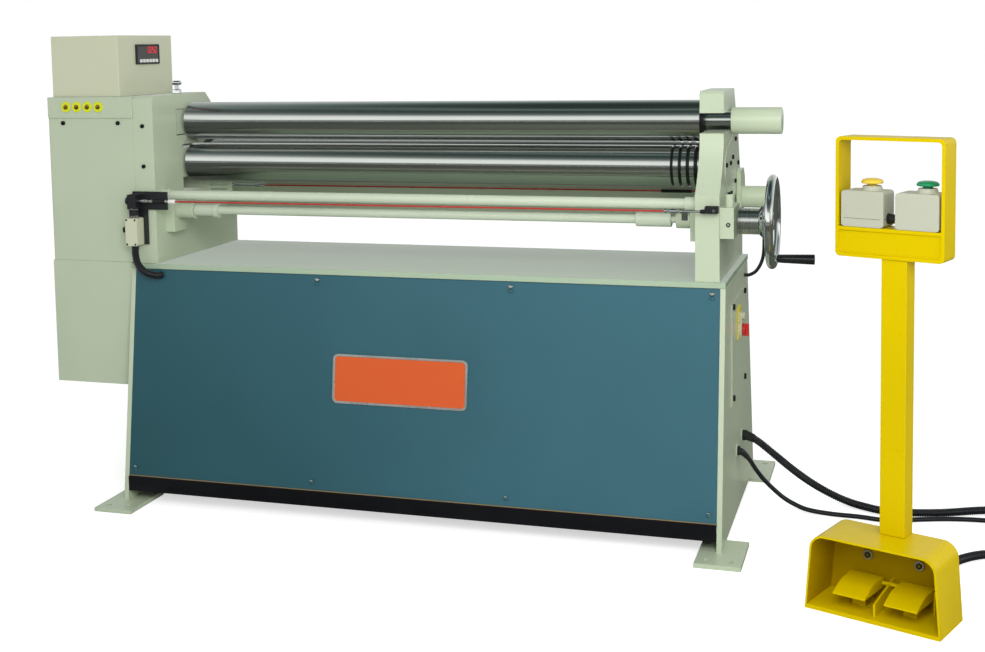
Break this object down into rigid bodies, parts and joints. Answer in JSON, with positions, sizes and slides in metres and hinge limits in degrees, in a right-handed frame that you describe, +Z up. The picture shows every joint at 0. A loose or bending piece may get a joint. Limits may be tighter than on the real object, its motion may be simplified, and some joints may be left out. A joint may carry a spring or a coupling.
{
  "type": "plate rolling machine",
  "caption": "Plate bending machine with steel rolls between frames on a sheet steel stand, a geared drive, a handwheel, and a free-standing foot and hand control.",
  "frame": {"origin": "on the floor below the middle of the machine with its control stand, cables left out", "axes": "X along the rolls to the handwheel, Y to the back, Z up"},
  "size_m": [2.9538, 1.2102, 1.3783],
  "materials": {
    "cream_paint": "smooth gloss",
    "teal_paint": "orange peel gloss",
    "polished_steel": "ground and polished",
    "cast_iron": "machined",
    "chrome": "polished",
    "yellow_paint": "smooth gloss",
    "grey_plastic": "moulded",
    "black_paint": "satin",
    "black_plastic": "moulded",
    "red_plastic": "moulded",
    "green_plastic": "moulded",
    "yellow_plastic": "moulded",
    "cable_sheath": "matt",
    "red_wire": "coated wire"
  },
  "bodies": {
    "machine": {"stand_left_side": "cream_paint", "stand_right_side": "cream_paint", "table_plate": "cream_paint", "rear_panel": "cream_paint", "left_frame": "cream_paint", "right_frame": "cream_paint", "gear_housing": "cream_paint", "motor_housing": "cream_paint", "electrics_box": "cream_paint", "bearing_cover": "cream_paint", "rear_guard": "cream_paint", "feed_motor": "cream_paint", "access_cover": "cream_paint", "tie_bar": "cream_paint", "limit_switch_box": "cream_paint", "front_panel": "teal_paint", "front_channel": "black_paint", "pull_switch": "black_paint", "wire_tensioner": "black_paint", "swing_pivot_bracket": "cast_iron", "pedestal_hood": "yellow_paint", "pedestal_post": "yellow_paint", "pedestal_head": "yellow_paint", "button_box_left": "grey_plastic", "button_box_right": "grey_plastic", "main_switch_body": "grey_plastic", "display_unit": "black_plastic", "supply_plug": "black_plastic", "pedestal_conduit": "cable_sheath", "supply_cable": "cable_sheath", "supply_coil": "cable_sheath", "switch_conduit": "cable_sheath", "motor_cable": "cable_sheath", "front_trip_wire": "red_wire", "rear_trip_wire": "red_wire"},
    "swing_bearing": {"swing_block": "cream_paint", "swing_handle_tube": "cream_paint"},
    "top_roll": {"top_roll": "polished_steel", "top_roll_gear": "cast_iron"},
    "pinch_carriage": {"pinch_block_left": "cream_paint", "pinch_block_right": "cream_paint", "gear_reducer": "cast_iron", "drive_motor": "cast_iron"},
    "bottom_roll": {"bottom_roll": "polished_steel", "bottom_roll_gear": "cast_iron"},
    "feed_carriage": {"rear_block_left": "cast_iron", "rear_block_right": "cast_iron"},
    "rear_roll": {"rear_roll": "polished_steel"},
    "handwheel": {"cross_shaft": "cream_paint", "graduated_collar": "polished_steel", "handwheel": "chrome"},
    "crank_handle": {"crank_handle": "black_plastic"},
    "clamp_knob": {"clamp_knob": "chrome"},
    "main_switch": {"main_switch_knob": "red_plastic"},
    "pull_plunger": {"pull_plunger": "polished_steel"},
    "reset_knob": {"reset_knob": "black_plastic"},
    "pedal_left": {"pedal_left": "yellow_paint"},
    "pedal_right": {"pedal_right": "yellow_paint"},
    "push_button_left": {"push_button_left": "yellow_plastic"},
    "push_button_right": {"push_button_right": "green_plastic"}
  },
  "joints": [
    {"name": "top_roll_swing", "type": "hinge", "parent": "machine", "child": "swing_bearing", "pos_m": [-1.0388, 0.08907, 1.1143], "axis": [0, 0, -1], "range_deg": [0, 5]},
    {"name": "top_roll_spin", "type": "hinge", "parent": "swing_bearing", "child": "top_roll", "pos_m": [-0.1538, 0.08907, 1.1143], "axis": [1, 0, 0], "continuous": true},
    {"name": "handwheel_turn", "type": "hinge", "parent": "machine", "child": "handwheel", "pos_m": [0.7612, -0.04093, 0.855], "axis": [1, 0, 0], "range_deg": [-449, 809]},
    {"name": "pinch_adjust", "type": "slide", "parent": "machine", "child": "pinch_carriage", "axis": [0, 0, 1], "range_m": [-0.005, 0.009]},
    {"name": "bottom_roll_spin", "type": "hinge", "parent": "pinch_carriage", "child": "bottom_roll", "pos_m": [-0.1538, 0.08907, 0.9886], "axis": [1, 0, 0], "continuous": true},
    {"name": "rear_feed", "type": "slide", "parent": "machine", "child": "feed_carriage", "axis": [0, -0.2588, 0.9659], "range_m": [-0.022, 0.028]},
    {"name": "rear_roll_spin", "type": "hinge", "parent": "feed_carriage", "child": "rear_roll", "pos_m": [-0.1538, 0.22137, 0.9893], "axis": [1, 0, 0], "continuous": true},
    {"name": "crank_handle_spin", "type": "hinge", "parent": "handwheel", "child": "crank_handle", "pos_m": [0.847, -0.04093, 0.757], "axis": [1, 0, 0], "continuous": true},
    {"name": "clamp_knob_turn", "type": "hinge", "parent": "machine", "child": "clamp_knob", "pos_m": [-0.9788, 0.07007, 1.2], "axis": [0, 0, 1], "range_deg": [0, 180]},
    {"name": "main_switch_turn", "type": "hinge", "parent": "machine", "child": "main_switch", "pos_m": [0.7372, 0.11807, 0.53], "axis": [1, 0, 0], "range_deg": [0, 90]},
    {"name": "pull_plunger_travel", "type": "slide", "parent": "machine", "child": "pull_plunger", "axis": [-1, 0, 0], "range_m": [0, 0.005], "stiffness_N_per_m": 1500, "springref_m": -0.002},
    {"name": "reset_knob_press", "type": "slide", "parent": "machine", "child": "reset_knob", "axis": [1, 0, 0], "range_m": [0, 0.003], "stiffness_N_per_m": 1200, "springref_m": -0.002},
    {"name": "pedal_left_press", "type": "hinge", "parent": "machine", "child": "pedal_left", "pos_m": [1.09112, -0.42165, 0.057], "axis": [0.932, -0.3625, 0], "range_deg": [0, 12], "stiffness_Nm_per_rad": 8, "springref_deg": -8.59},
    {"name": "pedal_right_press", "type": "hinge", "parent": "machine", "child": "pedal_right", "pos_m": [1.20575, -0.46624, 0.057], "axis": [0.932, -0.3625, 0], "range_deg": [0, 12], "stiffness_Nm_per_rad": 8, "springref_deg": -8.59},
    {"name": "push_button_left_press", "type": "slide", "parent": "machine", "child": "push_button_left", "axis": [0, 0, -1], "range_m": [0, 0.005], "stiffness_N_per_m": 1200, "springref_m": -0.002},
    {"name": "push_button_right_press", "type": "slide", "parent": "machine", "child": "push_button_right", "axis": [0, 0, -1], "range_m": [0, 0.005], "stiffness_N_per_m": 1200, "springref_m": -0.002}
  ],
  "couplings": [
    {"joint": "pinch_adjust", "follows": "handwheel_turn", "m_per_rad": 0.00063662},
    {"joint": "bottom_roll_spin", "follows": "top_roll_spin", "ratio": -1}
  ]
}
